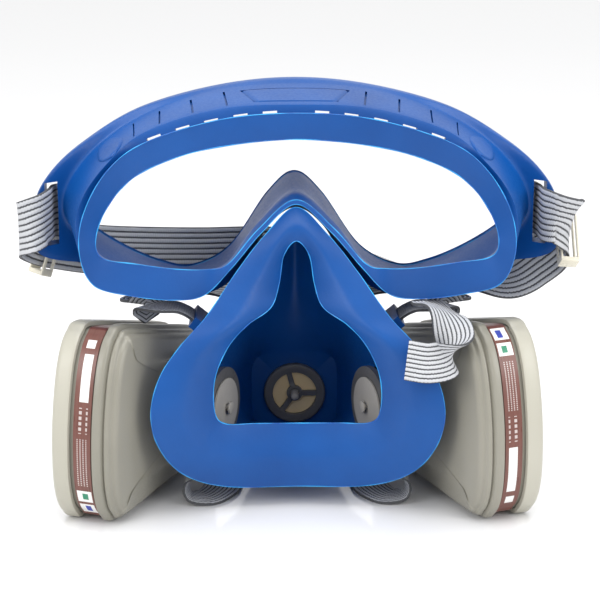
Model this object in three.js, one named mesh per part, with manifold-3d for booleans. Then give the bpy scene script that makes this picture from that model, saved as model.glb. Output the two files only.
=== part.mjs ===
// A combination respirator: wide goggles and a half mask in blue rubber, a clear lens, an exhalation
// valve, two side cartridges on bayonet ports, and three elastic straps.
// Millimetres, +Z up. The wearer looks along +Y, so the face seals are on the -Y side, and +X is the
// wearer's right. The respirator stands on the lower edges of its two cartridges at Z = 0.
import * as THREE from "three";
import { mergeVertices } from "three/addons/utils/BufferGeometryUtils.js";
import Module from "manifold-3d";

const wasm = await Module();
wasm.setup();

// ---------------------------------------------------------------- driving dimensions
const GAP = 0.3; // clearance kept between touching pieces
const LENS_FRONT_Y = 42; // the lens edge at the middle of the goggles
const LENS_SAG = 212; // the lens edge recedes by x * x / LENS_SAG
const LENS_THICK = 1.6;
const PORT_X = 36; // inhalation port centre, on the mask's outer wall
const PORT_Y = 4;
const PORT_Z = 34.6;
const PORT_TURN = THREE.MathUtils.degToRad(22); // the port looks forward by this angle from +X
const PORT_R = 13;
const VALVE_Z = 28; // exhalation valve axis, along Y
const VALVE_HOLE_R = 11.5;
const MASK_FRONT_Y = 43; // outside of the mask's front wall
const MASK_WALL = 2.6;
const CART_PITCH = THREE.MathUtils.degToRad(7.5); // the cartridge lies on its sloping lower side
const CART_DROP = 2.32; // the cartridge's middle lies this far below the port's axis
const CART_BEAD_D = 18; // distance along the port axis from the port to the bead
const CART_CAP_D = 31; // and to the cap
const CART_END_D = 38.3; // and to the cap's outer face
const WEB_WIDE = 20; // goggle strap
const WEB_NARROW = 15; // mask straps
const WEB_THICK = 1.3;

const BLUE = { color: 0x1350b4, roughness: 0.45, metalness: 0 };
const GREY = { color: 0xb4b0a4, roughness: 0.5, metalness: 0 };
const BEIGE = { color: 0xd6cfbd, roughness: 0.5, metalness: 0 };
const DARK = { color: 0x46484d, roughness: 0.5, metalness: 0 };
const BROWN = { color: 0x7c4438, roughness: 0.4, metalness: 0 };
const AMBER = { color: 0xd9b173, roughness: 0.5, metalness: 0 };
const WHITE = { color: 0xece8de, roughness: 0.4, metalness: 0 };
const BLACK = { color: 0x1c1c1e, roughness: 0.8, metalness: 0 };
const WOVEN = { color: 0x8b8d92, roughness: 0.9, metalness: 0 };
const CLEAR = { color: 0xf4fbff, roughness: 0.05, metalness: 0, transparent: true, opacity: 0.25 };

const respirator = new THREE.Group();
respirator.position.y = -12; // centres the finished piece over the origin

// ---------------------------------------------------------------- geometry helpers
// A three.js geometry as a manifold-3d solid.
function solid(geometry) {
  const bare = geometry.clone();
  bare.deleteAttribute("normal");
  bare.deleteAttribute("uv");
  const merged = mergeVertices(bare, 1e-4);
  return new wasm.Manifold(
    new wasm.Mesh({
      numProp: 3,
      vertProperties: merged.attributes.position.array,
      triVerts: new Uint32Array(merged.index.array),
    }),
  );
}

// A manifold-3d solid as a three.js geometry.
function geometryOf(made) {
  const mesh = made.getMesh();
  const geometry = new THREE.BufferGeometry();
  geometry.setAttribute("position", new THREE.BufferAttribute(new Float32Array(mesh.vertProperties), 3));
  geometry.setIndex(new THREE.BufferAttribute(new Uint32Array(mesh.triVerts), 1));
  geometry.computeVertexNormals();
  return geometry;
}

// Adds one named piece to a group.
function piece(name, geometry, look, parent = respirator) {
  const mesh = new THREE.Mesh(geometry, new THREE.MeshStandardMaterial(look));
  mesh.name = name;
  parent.add(mesh);
  return mesh;
}

// The half outline's points, top to bottom, and their mirror images back up to the top.
function mirrored(half) {
  const back = half.slice(1, -1).reverse();
  return [...half, ...back.map(([x, y, z]) => [-x, y, z])];
}

// A closed smooth ring through the mirrored half outline, with `fine` steps between its points.
function ring(half, fine = 4) {
  const points = mirrored(half).map((p) => new THREE.Vector3(...p));
  const curve = new THREE.CatmullRomCurve3(points, true, "catmullrom", 0.5);
  const count = points.length * fine;
  return Array.from({ length: count }, (_, i) => curve.getPoint(i / count));
}

// Faces between rings of equal length. `closed` joins the last ring to the first (a torus), and
// otherwise each end ring is closed by a fan at its middle.
function skin(rings, closed) {
  const count = rings[0].length;
  const positions = rings.flat().flatMap((p) => [p.x, p.y, p.z]);
  const faces = [];
  const bands = closed ? rings.length : rings.length - 1;
  for (let r = 0; r < bands; r++) {
    const a = r * count;
    const b = ((r + 1) % rings.length) * count;
    for (let i = 0; i < count; i++) {
      const j = (i + 1) % count;
      faces.push(a + i, b + i, a + j, a + j, b + i, b + j);
    }
  }
  if (!closed) {
    for (const [at, flip] of [[0, true], [rings.length - 1, false]]) {
      const middle = rings[at].reduce((s, p) => s.add(p), new THREE.Vector3()).divideScalar(count);
      const hub = positions.length / 3;
      positions.push(middle.x, middle.y, middle.z);
      for (let i = 0; i < count; i++) {
        const [a, b] = [at * count + i, at * count + ((i + 1) % count)];
        faces.push(...(flip ? [hub, a, b] : [hub, b, a]));
      }
    }
  }
  const geometry = new THREE.BufferGeometry();
  geometry.setAttribute("position", new THREE.Float32BufferAttribute(positions, 3));
  geometry.setIndex(faces);
  const made = solid(geometry);
  if (made.volume() > 0) return made;
  const turned = geometry.index.array.slice();
  for (let i = 0; i < turned.length; i += 3) [turned[i], turned[i + 1]] = [turned[i + 1], turned[i]];
  geometry.setIndex(new THREE.BufferAttribute(turned, 1));
  return solid(geometry);
}

// A box of width, depth and height, turned about Y and placed at its middle.
function block(w, d, h, x, y, z, turnY = 0) {
  const geometry = new THREE.BoxGeometry(w, d, h);
  geometry.rotateY(turnY);
  geometry.translate(x, y, z);
  return solid(geometry);
}

// A flat outline of [a, b] points extruded by `depth`, then placed by a matrix.
function extruded(points, depth, matrix) {
  const shape = new THREE.Shape(points.map(([a, b]) => new THREE.Vector2(a, b)));
  const geometry = new THREE.ExtrudeGeometry(shape, { depth, bevelEnabled: false, curveSegments: 12 });
  return solid(geometry.applyMatrix4(matrix));
}

// A turned piece: [radius, distance] points round an axis. The profile is closed on itself, or runs
// from axis to axis.
function turned(profile, axis, segments = 28) {
  const closed = profile[0][0] > 0 ? [...profile, profile[0]] : profile;
  const geometry = new THREE.LatheGeometry(closed.map(([r, d]) => new THREE.Vector2(r, d)), segments);
  const made = solid(geometry.applyMatrix4(axis));
  return made.volume() > 0 ? made : turned([...profile].reverse(), axis, segments);
}

// Lays a lathe's own axis along `direction`, starting at `origin`.
function alongAxis(origin, direction) {
  const turn = new THREE.Quaternion().setFromUnitVectors(new THREE.Vector3(0, 1, 0), direction);
  return new THREE.Matrix4().compose(origin, turn, new THREE.Vector3(1, 1, 1));
}

// The frame of a strap at t along its path. Each path point is [x, y, z, then the width's direction].
function strapAt(points, t) {
  const spine = new THREE.CatmullRomCurve3(points.map(([x, y, z]) => new THREE.Vector3(x, y, z)), false);
  const across = points.map(([, , , a, b, c]) => new THREE.Vector3(a, b, c).normalize());
  const along = spine.getTangent(t);
  const side = new THREE.CatmullRomCurve3(across, false, "catmullrom", 0.5).getPoint(t);
  side.addScaledVector(along, -side.dot(along)).normalize();
  return new THREE.Matrix4()
    .makeBasis(along, side, new THREE.Vector3().crossVectors(along, side))
    .setPosition(spine.getPoint(t));
}

// A strap: a flat band of `width` by WEB_THICK swept along its path.
function strap(points, width, steps) {
  const [w, h] = [width / 2, WEB_THICK / 2];
  const corners = [[-w, -h], [w, -h], [w, h], [-w, h]];
  const rings = Array.from({ length: steps + 1 }, (_, i) => {
    const frame = strapAt(points, i / steps);
    return corners.map(([u, v]) => new THREE.Vector3(0, u, v).applyMatrix4(frame));
  });
  return skin(rings, false);
}

// ---------------------------------------------------------------- goggle frame
const lensY = (x) => LENS_FRONT_Y - (x * x) / LENS_SAG;
const onLens = (outline, dy) => outline.map(([x, z]) => [x, lensY(x) + dy, z]);

// A half outline grown by `out` away from its middle, in the XZ plane, and moved by dy along Y.
function offset(outline, out, dy) {
  const half = outline.map((p) => (p.length === 3 ? p : [p[0], lensY(p[0]), p[1]]));
  const points = mirrored(half);
  const count = points.length;
  return half.map((p, i) => {
    const before = points[(i + count - 1) % count];
    const after = points[(i + 1) % count];
    const normal = new THREE.Vector2(before[2] - after[2], after[0] - before[0]).normalize();
    const reach = Array.isArray(out) ? out[i] : out;
    const atEnd = i === 0 || i === half.length - 1;
    return [atEnd ? 0 : p[0] + normal.x * reach, p[1] + dy, p[2] + normal.y * reach];
  });
}

// A half outline part of the way from one to another, moved by dy along Y.
function between(from, to, t, dy) {
  return from.map((p, i) => p.map((v, k) => v + (to[i][k] - v) * t + (k === 1 ? dy : 0)));
}

// Lens opening, from the middle of the brow round to the nose peak: [x, z].
const LENS_EDGE = [
  [0, 150], [30, 148], [56, 142], [73, 133], [82.5, 122], [84, 113], [78, 104.5],
  [66, 94.5], [53, 87], [41, 84], [26, 91], [11, 112], [0, 120.5],
];
// Front rim, which widens at the temples into the strap wings.
const RIM_EDGE = [
  [0, 158], [30, 155.7], [60, 149], [81, 138], [93, 127.5], [98, 116], [96.5, 98],
  [71, 89], [55, 81], [40, 78], [21.5, 87], [8, 107.5], [0, 115],
];
// Where the wall steps down behind the rim to the vents: [x, y, z].
const SHOULDER = [
  [0, 4, 153], [29, 3, 151.6], [56.5, -3, 144], [71, -13, 133], [80, -18, 120], [81.5, -20, 106],
  [77, -17, 93], [64, -10, 85.5], [48, -5, 81], [33, -1, 81.5], [20.8, 4, 89], [10.6, 12, 104.6], [0, 15, 111.2],
];
// Face seal: outer edge and inner lip.
const SEAL_OUTER = [
  [0, -4, 151], [28.5, -6, 149], [56.5, -13, 141.5], [70, -20, 132], [78, -28, 118], [79.5, -31, 104],
  [75, -28, 91.5], [63, -22, 86], [47, -16, 82.5], [35, -11, 83], [24.6, -9.5, 93.1], [13, -3, 105.5], [0, 2.6, 115],
];
const SEAL_LIP = [
  [0, -3, 141], [33, -6, 138], [54, -11, 132], [65, -16, 125], [72, -22, 115], [74, -26, 106],
  [71, -24.5, 100.5], [60, -20, 97.5], [46, -14, 94], [34, -9, 92.5], [25.9, -8.6, 94.5], [14.2, -2.2, 106.7], [0, 3.4, 116.6],
];
const lensEdge = (out, dy) => offset(LENS_EDGE, out, 0).map(([x, , z]) => [x, lensY(x) + dy, z]);
const VENT_X = [9.8, 20.8, 31.8, 42.4, 53];

function goggleFrame() {
  const rimInset = RIM_EDGE.map(([x, z], i) => [x * 0.985, z + (i > 9 ? 1 : -1)]);
  const stations = [
    lensEdge(0, 1.4),
    lensEdge(1, 3.2),
    onLens(rimInset, 3),
    onLens(RIM_EDGE, 1),
    onLens(RIM_EDGE, -4.5),
    offset(LENS_EDGE, [6.8, 6.8, 5.5, 4.5, 4, 4, 4, 4, 4, 4, 3.6, 3.6, 3.8], -9),
    SHOULDER,
    offset(SEAL_LIP, [5.5, 5.5, 5.5, 5, 4, 3.5, 4, 6, 6.5, 5, 3.2, 2.2, 2.8], 5),
    offset(SEAL_OUTER, 0, 1.6),
    SEAL_OUTER,
    SEAL_LIP,
    offset(SEAL_LIP, 0.2, 1.8),
    offset(SEAL_LIP, [2.8, 2.8, 2.6, 2.2, 1.5, 1, 1.4, 3, 3.4, 2, 0.2, -1, -1.4], 6.5),
    offset(SHOULDER, [-3, -3, -3, -3, -3, -3, -3, -3, -3, -3, -3, -3.2, -7], 3),
    offset(LENS_EDGE, [3.2, 3.2, 2, 1, 0.8, 0.8, 0.8, 0.8, 0.8, 0.8, 0.4, 0.4, 0.6], -9),
    lensEdge(0, -2.4),
    lensEdge(3.6, -1.6),
    lensEdge(3.6, 0.8),
  ];
  let made = skin(stations.map((s) => ring(s, 3)), true);
  // Ten vents through the step above the seal, and a strap slot in each wing.
  const cuts = [];
  for (const side of [-1, 1]) {
    for (const x of VENT_X) {
      const z = 149.6 - (x * x) / 330;
      const y = 4 - (x * x) / 420;
      cuts.push(block(4.6, 16, 2.6, side * x, y, z, side * Math.atan(x / 165)));
    }
    cuts.push(block(4.4, 40, 24, side * 92.2, 2, 113));
  }
  return made.subtract(wasm.Manifold.union(cuts));
}
piece("goggle_frame", geometryOf(goggleFrame()), BLUE);

// The lens: one curved sheet held in the groove round the opening.
function lens() {
  const outline = ring(offset(LENS_EDGE, 3.4 - GAP, 0), 3).map((p) => [p.x, -p.z]);
  const upright = new THREE.Matrix4().makeRotationX(-Math.PI / 2);
  const sheet = [];
  for (let x = -92; x <= 92; x += 4) sheet.push([x, lensY(x) + 0.3]);
  for (let x = 92; x >= -92; x -= 4) sheet.push([x, lensY(x) + 0.3 - LENS_THICK + 0.4]);
  const band = extruded(sheet, 90, new THREE.Matrix4().makeTranslation(0, 0, 75));
  const blank = extruded(outline, 80, new THREE.Matrix4().makeTranslation(0, -20, 0).multiply(upright));
  return band.intersect(blank);
}
piece("lens", geometryOf(lens()), CLEAR);

// ---------------------------------------------------------------- half mask
// Outlines from the nose bridge round to the chin, front to back: [x, y, z].
const FRONT = [
  [0, 43, 46.5], [8, 43, 46.5], [15.5, 43, 45.2], [19, 43, 41], [19.8, 43, 35], [19.8, 43, 28],
  [19.6, 43, 21], [18.4, 43, 15], [14, 43, 11.4], [7, 43, 10.4], [0, 43, 10.2],
];
const FRONT_EDGE = [
  [0, 40, 57], [7, 39.7, 55], [14, 39, 51], [19.5, 38, 46], [22.5, 37, 39], [23.6, 36.5, 32],
  [23, 36.5, 24.5], [20.5, 37.5, 16.5], [14.5, 38.5, 10.8], [7.5, 39.5, 8.8], [0, 40, 8.4],
];
const CHEEK = [
  [0, 34, 83], [6, 32.5, 77.5], [13, 30, 70], [20, 27, 61.5], [25.5, 24, 53], [29, 22, 44],
  [30, 21, 35], [28, 21, 25.5], [22, 23, 16.5], [12, 25, 10.5], [0, 26, 8.6],
];
const MIDDLE = [
  [0, 24, 105.5], [8, 20, 96], [16.5, 15, 84], [25.5, 10, 71.5], [32.5, 6.5, 61], [37.5, 4, 50],
  [39.3, 3, 39], [37, 3, 26.5], [30, 4, 16.5], [18, 6, 10.8], [0, 8, 9.2],
];
const BACK = [
  [0, 12, 110.8], [9.5, 7, 101.5], [18.5, 1, 89.5], [29, -7, 75.5], [37.5, -12, 65], [44, -16, 54],
  [46.5, -18, 42], [44, -17, 28.5], [36.5, -14, 17.5], [22.5, -10, 11.8], [0, -8, 10],
];
const FACE_EDGE = [
  [0, 2, 114], [12, -4, 104.5], [22.5, -11.5, 92.5], [34, -21, 77.5], [44, -27.3, 67.4], [51.5, -31, 56.5],
  [54.8, -33, 43], [52, -31, 29], [43, -26, 16.6], [27, -20.3, 9.6], [0, -17, 8.3],
];
const FACE_LIP = [
  [0, -4, 102.2], [4.8, -5.5, 97], [6.8, -8, 86], [10, -12.5, 78.3], [18.8, -18, 73.1], [26, -21, 65.5],
  [31, -23.5, 54], [31.3, -23.5, 41], [27.5, -21.5, 35.4], [16, -17.5, 34], [0, -15, 33.2],
];
// Lugs the mask straps are moulded into: [x, y, z, tilt up from +X].
const LUGS = [[33.5, -2, 67.5, 0.69], [33.5, -6, 17, -0.79]];
const PORTS = [-1, 1].map((side) => {
  const out = new THREE.Vector3(side * Math.cos(PORT_TURN), Math.sin(PORT_TURN), 0);
  return { side, out, axis: alongAxis(new THREE.Vector3(side * PORT_X, PORT_Y, PORT_Z), out) };
});
const FORWARD = alongAxis(new THREE.Vector3(0, 0, VALVE_Z), new THREE.Vector3(0, 1, 0));

function halfMask() {
  const stations = [
    FRONT,
    FRONT_EDGE,
    CHEEK,
    MIDDLE,
    BACK,
    offset(FACE_EDGE, -0.5, 2.4),
    FACE_EDGE,
    between(FACE_EDGE, FACE_LIP, 0.5, -3),
    FACE_LIP,
    offset(FACE_LIP, 0.4, 1.8),
    between(FACE_EDGE, FACE_LIP, 0.55, 0.2),
    offset(BACK, -MASK_WALL, 0.5),
    offset(MIDDLE, -MASK_WALL, -0.5),
    offset(CHEEK, -MASK_WALL, -1.2),
    offset(FRONT_EDGE, -MASK_WALL, -1.8),
    offset(FRONT, -2.2, -MASK_WALL),
  ];
  let made = skin(stations.map((s) => ring(s, 3)), false);
  for (const side of [-1, 1]) {
    for (const [x, y, z, tilt] of LUGS) {
      const turn = new THREE.Matrix4().makeRotationY(side > 0 ? -tilt : Math.PI + tilt);
      const place = new THREE.Matrix4().makeTranslation(side * x, y, z).multiply(turn);
      const lug = new THREE.BoxGeometry(10, WEB_NARROW + 4, 4.6).translate(3, 0, 0);
      const pocket = new THREE.BoxGeometry(12, WEB_NARROW + 2 * GAP, WEB_THICK + 2 * GAP).translate(7.5, 0, 0);
      made = made.add(solid(lug.applyMatrix4(place))).subtract(solid(pocket.applyMatrix4(place)));
    }
  }
  for (const { axis } of PORTS) {
    const collar = turned([[PORT_R, -6], [16.5, -6], [17, 2], [PORT_R, 2]], axis);
    const plug = turned([[0, -14], [16.2, -14], [16.2, -6], [PORT_R, -6], [PORT_R, 12], [0, 12]], axis);
    made = made.add(collar).subtract(plug);
  }
  const hole = turned([[0, 34], [VALVE_HOLE_R, 34], [VALVE_HOLE_R, 50], [0, 50]], FORWARD);
  return made.subtract(hole);
}
piece("half_mask", geometryOf(halfMask()), BLUE);

// ---------------------------------------------------------------- exhalation valve
// The seat: a ring with three spokes and a hub, a sleeve through the wall, and a front flange.
function valveSeat() {
  const inside = MASK_FRONT_Y - MASK_WALL - GAP;
  const front = MASK_FRONT_Y + GAP;
  const sleeve = VALVE_HOLE_R - GAP;
  const shell = turned([
    [9, inside - 2.3], [12, inside - 2.3], [12.6, inside - 1.8], [12.6, inside], [sleeve, inside],
    [sleeve, front], [14, front], [14, front + 2], [10.4, front + 2], [10.4, inside], [9, inside],
  ], FORWARD, 32);
  const hub = turned([[1.9, inside - 2], [3.2, inside - 2], [3.2, inside - 0.2], [1.9, inside - 0.2]], FORWARD);
  const spokes = [75, 180, 305].map((degrees) => {
    const spoke = new THREE.BoxGeometry(7.2, 1.6, 2.1);
    spoke.translate(6.2, inside - 1.1, 0);
    spoke.rotateY(-THREE.MathUtils.degToRad(degrees));
    spoke.translate(0, 0, VALVE_Z);
    return solid(spoke);
  });
  return wasm.Manifold.union([shell, hub, ...spokes]);
}
const valve = new THREE.Group();
respirator.add(valve);
piece("valve_seat", geometryOf(valveSeat()), DARK, valve);
const flap = [[1.9, 40.4], [9.9, 40.4], [10, 40.7], [9.8, 41.1], [1.9, 41.3]];
piece("exhalation_flap", geometryOf(turned(flap, FORWARD)), AMBER, valve);
const pin = [[0, 33.2], [1.1, 33.3], [1.6, 34], [1.6, 43], [2.8, 43], [2.8, 44], [0, 44.4]];
piece("valve_pin", geometryOf(turned(pin, FORWARD, 24)), GREY, valve);
function valveCover() {
  const dome = turned([
    [14.4, 43.6], [16, 43.6], [16, 49], [14.5, 51], [11, 52], [0, 52.4], [0, 50.8],
    [10.5, 50.4], [13.4, 49.6], [14.4, 48.2],
  ], FORWARD, 32);
  const outlets = [-52, 0, 52].map((degrees) => {
    const window = new THREE.BoxGeometry(9, 3.6, 8);
    window.translate(0, 47.4, -14);
    window.rotateY(THREE.MathUtils.degToRad(degrees));
    window.translate(0, 0, VALVE_Z);
    return solid(window);
  });
  return dome.subtract(wasm.Manifold.union(outlets));
}
piece("valve_cover", geometryOf(valveCover()), BLUE, valve);

// ---------------------------------------------------------------- inhalation ports
for (const { side, axis } of PORTS) {
  const hand = side > 0 ? "right" : "left";
  const port = new THREE.Group();
  respirator.add(port);
  const sleeve = PORT_R - GAP;
  const shell = turned([
    [10.4, -8.5], [15.8, -8.5], [15.8, -6.3], [sleeve, -6.3], [sleeve, 2.3], [16, 2.3],
    [16, 4.2], [sleeve, 4.2], [sleeve, 11], [11.2, 11], [11.2, 4], [10.4, 3],
  ], axis, 28);
  const hub = turned([[1.6, -8.3], [3, -8.3], [3, -6.8], [1.6, -6.8]], axis, 24);
  const spokes = [0, 90, 180, 270].map((degrees) => {
    const spoke = new THREE.BoxGeometry(8.6, 1.5, 1.6);
    spoke.translate(6.6, -7.55, 0);
    spoke.rotateY(THREE.MathUtils.degToRad(degrees + 45));
    return solid(spoke.applyMatrix4(axis));
  });
  piece(`inlet_${hand}`, geometryOf(wasm.Manifold.union([shell, hub, ...spokes])), DARK, port);
  const disc = [[1.5, -9.6], [11.6, -9.4], [11.6, -8.8], [1.5, -8.8]];
  piece(`inhalation_flap_${hand}`, geometryOf(turned(disc, axis, 24)), GREY, port);
  const button = [[0, -11.8], [2.4, -11.6], [2.4, -10.8], [1.2, -10.8], [1.2, -6.5], [2.4, -6.5], [2.4, -5.7], [0, -5.5]];
  piece(`flap_button_${hand}`, geometryOf(turned(button, axis, 24)), GREY, port);
  const gasket = [[13.1, 4.5], [15.6, 4.5], [15.8, 5.4], [15.6, 6.3], [13.1, 6.3]];
  piece(`gasket_${hand}`, geometryOf(turned(gasket, axis, 28)), BLACK, port);
}

// ---------------------------------------------------------------- cartridges
// Half the cartridge's height at u: its lower side then lies flat on Z = 0.
function halfHeight(u) {
  return (PORT_Z - u * Math.sin(CART_PITCH)) / Math.cos(CART_PITCH) - CART_DROP;
}
// Half outline of its flat face: [forward, up] from its middle, front to rear.
const CART_EDGE = [
  [44, 0], [43.3, 11], [40, 20], [33, 26.8], ...[24, -7, -38].map((u) => [u, halfHeight(u)]),
  [-46, 35], [-51.2, 28.4], [-54.4, 17.5], [-55.8, 0],
];

// The outline drawn in by `inset`: x is up and z is forward.
function edgeLoop(inset) {
  return ring(offset(CART_EDGE.map(([u, v]) => [v, 0, u]), -inset, 0), 2);
}
// One loop of the cartridge at distance d along the port axis.
function loop(port, d, inset) {
  return edgeLoop(inset).map((p) => {
    const up = Math.sign(p.x) * Math.min(Math.abs(p.x), halfHeight(p.z));
    return cartPoint(port, p.z, up - CART_DROP, d);
  });
}
// A round loop of the same count about the port axis.
function round(port, d, radius) {
  return edgeLoop(0).map((p) => {
    const angle = Math.atan2(p.x - CART_DROP, p.z);
    return cartPoint(port, radius * Math.cos(angle), radius * Math.sin(angle), d);
  });
}
function cartPoint({ side, out }, u, v, d) {
  const level = new THREE.Vector3(-side * out.y, side * out.x, 0);
  const ahead = level.multiplyScalar(Math.cos(CART_PITCH)).add(new THREE.Vector3(0, 0, -Math.sin(CART_PITCH)));
  const upward = new THREE.Vector3().crossVectors(out, ahead).multiplyScalar(side);
  return new THREE.Vector3(side * PORT_X, PORT_Y, PORT_Z)
    .addScaledVector(out, d)
    .addScaledVector(ahead, u)
    .addScaledVector(upward, v);
}

for (const port of PORTS) {
  const hand = port.side > 0 ? "right" : "left";
  const cartridge = new THREE.Group();
  respirator.add(cartridge);
  const bead = CART_BEAD_D;
  const cap = CART_CAP_D;
  const end = CART_END_D;
  const shell = skin([
    round(port, 6.6, 13.2), round(port, 6.6, 19), round(port, 8.2, 21), loop(port, 10.4, 13),
    loop(port, 12.4, 5), loop(port, 13.4, 3.6), loop(port, 14.6, 3.2), loop(port, 15.2, 2), loop(port, 16.6, 1.7),
    loop(port, 17.3, 2.4), loop(port, bead, 0.6), loop(port, bead + 0.8, 0.2), loop(port, bead + 3, 0.2),
    loop(port, bead + 3.6, 2.4), loop(port, cap + 2.6, 2.4), loop(port, cap + 2.6, 4), loop(port, bead + 0.5, 4),
    loop(port, 15.6, 8), loop(port, 12.6, 16), round(port, 10.8, 19), round(port, 9.2, 13.2),
  ], true);
  piece(`cartridge_case_${hand}`, geometryOf(shell), GREY, cartridge);
  const label = skin([
    loop(port, bead + 4.2, 1.7), loop(port, cap - 1.6, 1.7), loop(port, cap - 1.6, 2.1), loop(port, bead + 4.2, 2.1),
  ], true);
  piece(`cartridge_label_${hand}`, geometryOf(label), BROWN, cartridge);
  const bed = skin([loop(port, bead + 1.2, 4.4), loop(port, cap - 1, 4.4)], false);
  piece(`carbon_bed_${hand}`, geometryOf(bed), BLACK, cartridge);
  const pad = skin([loop(port, cap - 0.6, 4.5), loop(port, cap + 3.4, 4.5)], false);
  piece(`prefilter_${hand}`, geometryOf(pad), WHITE, cartridge);
  const lid = skin([
    loop(port, cap, 2), loop(port, cap, 0.3), loop(port, cap + 1.2, 0), loop(port, end - 2, 0),
    loop(port, end - 0.5, 1), loop(port, end, 3), loop(port, end, 10), loop(port, end - 0.9, 11.4),
    loop(port, end - 2.6, 11.4), loop(port, end - 2.6, 2),
  ], true);
  piece(`cartridge_cap_${hand}`, geometryOf(lid), BEIGE, cartridge);
}

// ---------------------------------------------------------------- straps
const GOGGLE_PATH = [
  [-80, 22, 106, 0, 0, 1], [-89.5, 13, 111, 0, 0, 1], [-92.2, 3, 113, 0, 0, 1], [-93, -5, 113, 0, 0, 1],
  [-95.8, -11.2, 112, 0, 0, 1], [-100.4, -12.2, 110, 0, 0, 1], [-103.7, -7, 108, 0, 0, 1], [-104.2, 1, 105.5, 0, 0, 1],
  [-101.7, 8, 102, 0.1, 0, 1], [-97.5, 14, 98.5, 0.15, 0, 1], [-92, 21, 95.5, 0.1, 0, 1], [-80, 31.5, 91, 0, 0, 1],
  [-62, 43, 87.5, 0, 0, 1], [-38, 52.5, 85, 0, 0, 1], [-12, 58, 84, 0, 0, 1], [8, 60, 81, 0, 0.35, 0.9],
  [28, 56, 77, 0.2, 0.85, 0.4], [48, 44, 75.6, 0.5, 0.85, 0], [63, 31, 78.4, 0.6, 0.8, 0], [76, 19, 80.6, 0.5, 0.8, 0.2],
  [86, 13, 84.4, 0, 0.6, 0.8], [93.6, 11, 90.4, -0.2, 0.4, 0.9], [99.6, 6.6, 96.8, 0, 0.1, 0.95],
  [102.6, 0.4, 102.6, 0.1, -0.15, 0.95], [103.2, -7, 108.4, 0.15, -0.25, 0.92], [100.6, -14, 112, 0.25, -0.4, 0.87],
  [97, -15.5, 113.4, 0.2, -0.4, 0.9], [93.2, -10.5, 113.2, 0.05, -0.1, 1], [92.2, 1, 113, 0, 0, 1],
  [90.5, 11, 112, 0, 0, 1], [80, 22, 108, 0, 0, 1],
];
piece("goggle_strap", geometryOf(strap(GOGGLE_PATH, WEB_WIDE, 88)), WOVEN);

// A strap path the same on both sides: its right half from the lug, then the middle point.
function around(half, middle) {
  const left = half.map(([x, y, z, a, b, c]) => [-x, y, z, -a, b, c]);
  return [...left, middle, ...half.slice().reverse()];
}

// The mask straps, each from its left lug round the back to its right lug.
const HEAD_HALF = [
  [35, -2, 68.8, 0, 1, 0], [38, -2, 71.3, 0, 1, 0], [41, -2.4, 73.8, 0, 1, 0], [46, -4, 76.4, 0.1, 1, 0],
  [53, -5, 77, 0.3, 1, 0], [58.6, 0.6, 76.9, 0.8, 0.8, 0], [61, 12, 75.4, 1, 0.2, 0], [54.5, 27, 73.2, 0.9, 0.4, 0],
  [42, 43, 71, 0.6, 0.7, 0], [27, 55, 69, 0.2, 0.7, 0.5], [12, 61, 66, 0, 0.3, 1],
];
const HEAD_PATH = around(HEAD_HALF, [0, 62, 65, 0, 0, 1]);
const NECK_PATH = [
  [-34.9, -6, 15.6, 0, 1, 0], [-37.4, -6, 13.1, 0, 1, 0], [-40, -6, 10.5, 0, 1, 0], [-42.8, -7.5, 6.4, 0, 1, 0],
  [-41.6, -9.5, 2.4, 0, 1, 0], [-36, -9.5, 0.9, -0.3, 1, 0], [-30.5, -2, 0.85, -0.9, 0.5, 0], [-28, 12, 0.85, -1, 0.1, 0],
  [-24, 28, 0.85, -1, 0.4, 0], [-14, 44, 0.85, -0.7, 0.8, 0], [0, 50, 0.85, 0, 1, 0], [14, 44, 0.85, 0.7, 0.8, 0],
  [24, 28, 0.85, 1, 0.4, 0], [28, 12, 0.85, 1, 0.1, 0], [30.5, -2, 0.85, 0.9, 0.5, 0], [36, -9.5, 0.9, 0.3, 1, 0],
  [41.6, -9.5, 2.4, 0, 1, 0], [42.8, -7.5, 6.4, 0, 1, 0], [40, -6, 10.5, 0, 1, 0], [37.4, -6, 13.1, 0, 1, 0],
  [34.9, -6, 15.6, 0, 1, 0],
];
piece("head_strap", geometryOf(strap(HEAD_PATH, WEB_NARROW, 64)), WOVEN);
piece("neck_strap", geometryOf(strap(NECK_PATH, WEB_NARROW, 56)), WOVEN);
const TAIL_PATH = [
  [48.5, -15.5, 81.1, 0.4, 1, 0], [54.5, -24.5, 79.2, 0.8, 0.5, -0.3], [58, -32, 71, 0.7, 0.1, 0.6],
  [55, -37, 65.5, 0.3, 0.2, 0.9], [48.5, -37, 63.6, 0.1, 0.3, 0.9], [40, -35, 64.2, 0.05, 0.3, 0.9],
];
piece("head_strap_tail", geometryOf(strap(TAIL_PATH, WEB_NARROW, 24)), WOVEN);

// A buckle: a frame the strap runs through, with a window in each face.
function buckle(path, t) {
  const frame = solid(new THREE.BoxGeometry(6, 26, 7.2));
  const passage = solid(new THREE.BoxGeometry(20, 22.4, 5.6));
  const window = solid(new THREE.BoxGeometry(3, 20, 12));
  const geometry = geometryOf(frame.subtract(passage).subtract(window));
  return geometry.applyMatrix4(strapAt(path, t));
}
piece("buckle_left", buckle(GOGGLE_PATH, 0.31), WHITE);
piece("buckle_right", buckle(GOGGLE_PATH, 0.775), WHITE);

export default respirator;
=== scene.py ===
import math

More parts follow.
